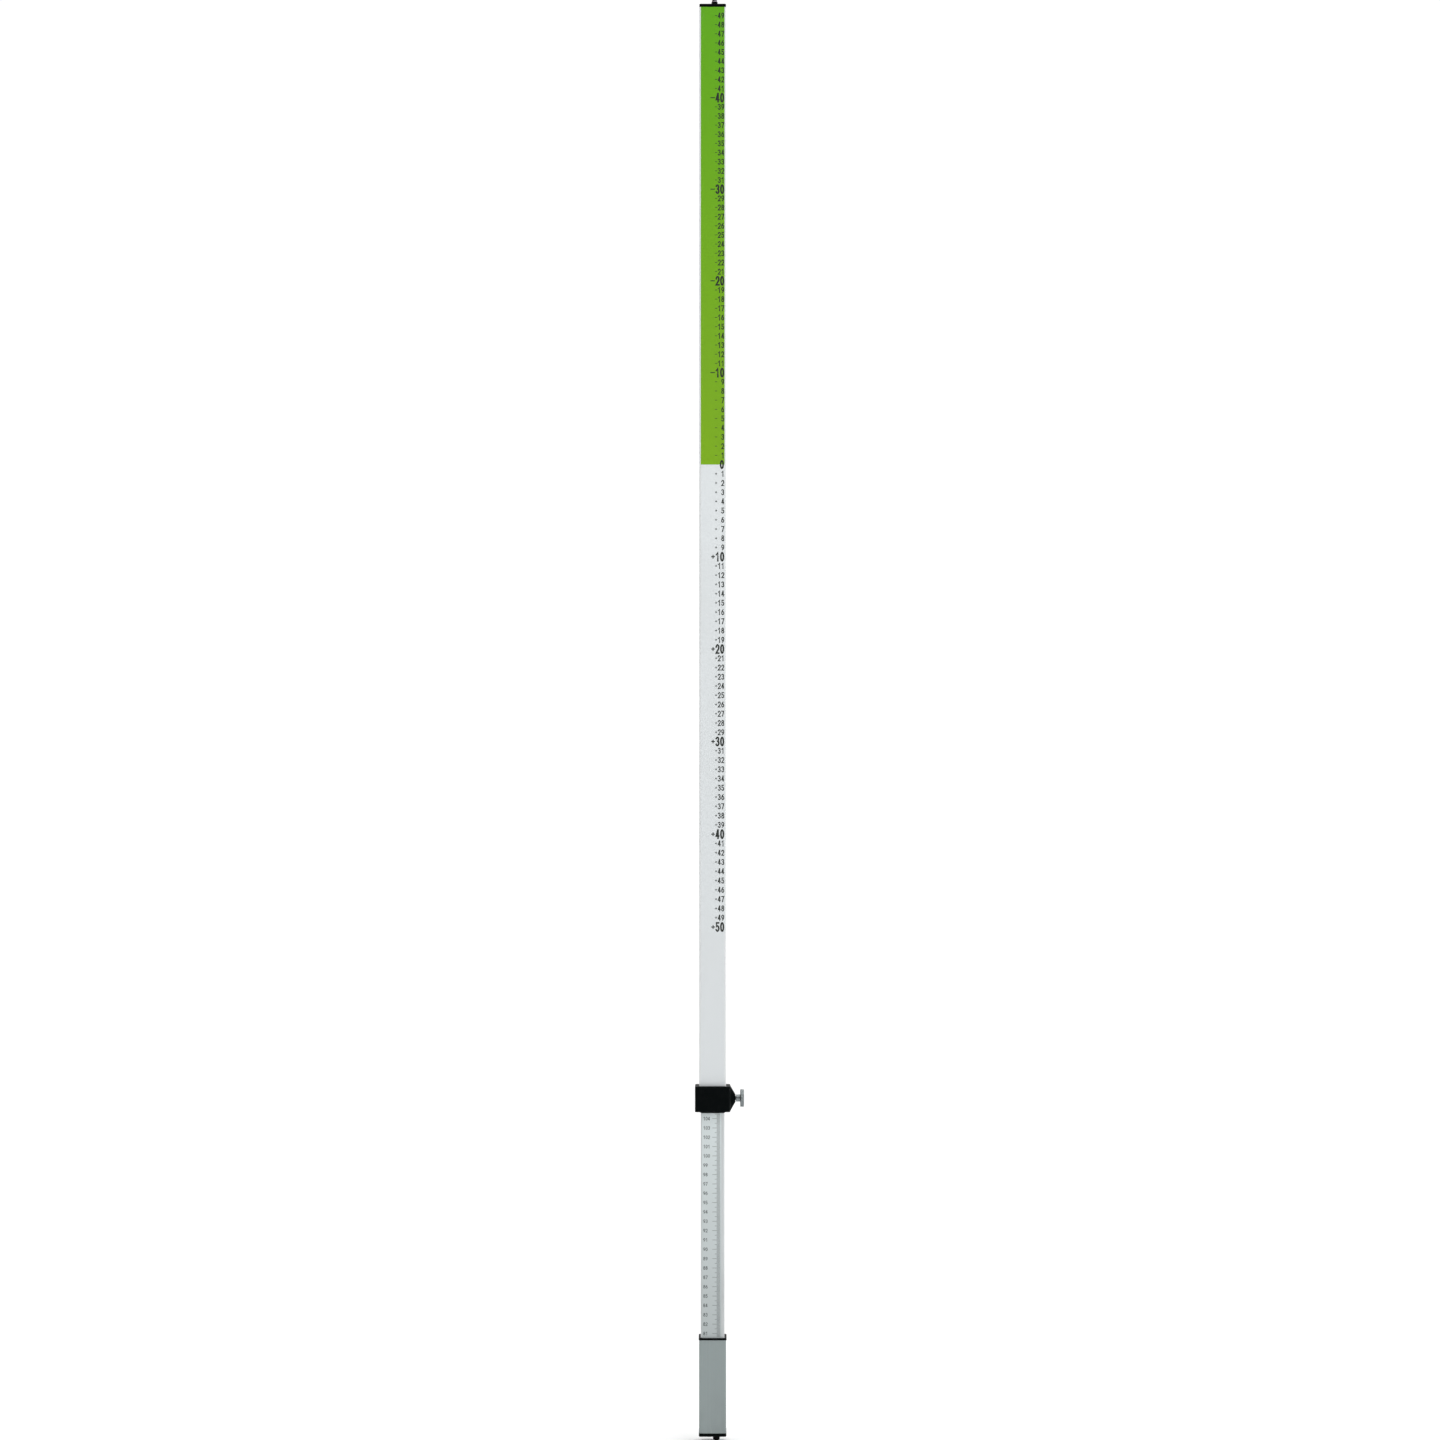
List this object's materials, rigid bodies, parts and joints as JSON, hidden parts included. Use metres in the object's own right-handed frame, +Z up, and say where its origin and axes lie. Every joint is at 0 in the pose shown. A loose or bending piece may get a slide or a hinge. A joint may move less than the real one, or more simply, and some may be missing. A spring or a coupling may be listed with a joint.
{
  "type": "leveling rod",
  "caption": "Telescopic leveling rod: printed plus and minus sleeve sliding on a graduated inner tube, clamp collar with knurled thumb screw, short foot tube, end studs.",
  "frame": {"origin": "tip of the foot stud, where the rod stands", "axes": "+Z up along the rod, printed faces look along -Y, thumb screw on the +X side"},
  "size_m": [0.0529, 0.047, 1.5708],
  "materials": {
    "inner_tube_aluminium": "satin anodised",
    "foot_tube_aluminium": "satin grey anodised",
    "sleeve_coating": "satin white powder coat on extruded aluminium",
    "green_print": "printed film, semi-gloss",
    "white_print": "printed film, semi-gloss",
    "height_print": "printed film, matt",
    "black_plastic": "fine textured",
    "collar_plastic": "glass-filled nylon, semi-matt",
    "glide_plastic": "smooth glide plastic",
    "black_rubber": "matt",
    "stud_steel": "zinc plated",
    "plated_steel": "nickel plated",
    "rivet_metal": "plain",
    "blackened_steel": "black oxide",
    "insert_brass": "turned"
  },
  "bodies": {
    "base": {"inner_tube": "inner_tube_aluminium", "height_scale_film": "height_print", "inner_guide_cap": "glide_plastic", "slide_pad": "glide_plastic", "slide_pad_rivets": "rivet_metal", "foot_tube": "foot_tube_aluminium", "foot_packer": "glide_plastic", "foot_rivets": "rivet_metal", "foot_ring": "black_plastic", "bottom_cap": "black_plastic", "foot_boot": "black_rubber", "foot_stud": "stud_steel", "foot_stud_nut": "plated_steel"},
    "sleeve": {"sleeve_tube": "sleeve_coating", "minus_scale_film": "green_print", "plus_scale_film": "white_print", "top_cap": "black_plastic", "top_stud": "stud_steel", "top_stud_nut": "plated_steel", "collar_body": "collar_plastic", "collar_guide": "glide_plastic", "collar_screws": "blackened_steel", "threaded_insert": "insert_brass"},
    "pressure_pad": {"clamp_pad": "glide_plastic"},
    "screw": {"thumb_screw": "plated_steel"}
  },
  "joints": [
    {"name": "sleeve_slide", "type": "slide", "parent": "base", "child": "sleeve", "axis": [0, 0, 1], "range_m": [-0.2406, 0.8446]},
    {"name": "clamp_travel", "type": "slide", "parent": "sleeve", "child": "pressure_pad", "axis": [1, 0, 0], "range_m": [0, 0.0016]},
    {"name": "thumb_screw_turn", "type": "hinge", "parent": "pressure_pad", "child": "screw", "pos_m": [0.027, 0, 0.369], "axis": [1, 0, 0], "range_deg": [0, 720]}
  ],
  "couplings": [
    {"joint": "clamp_travel", "follows": "thumb_screw_turn", "m_per_rad": 0.00012732}
  ]
}
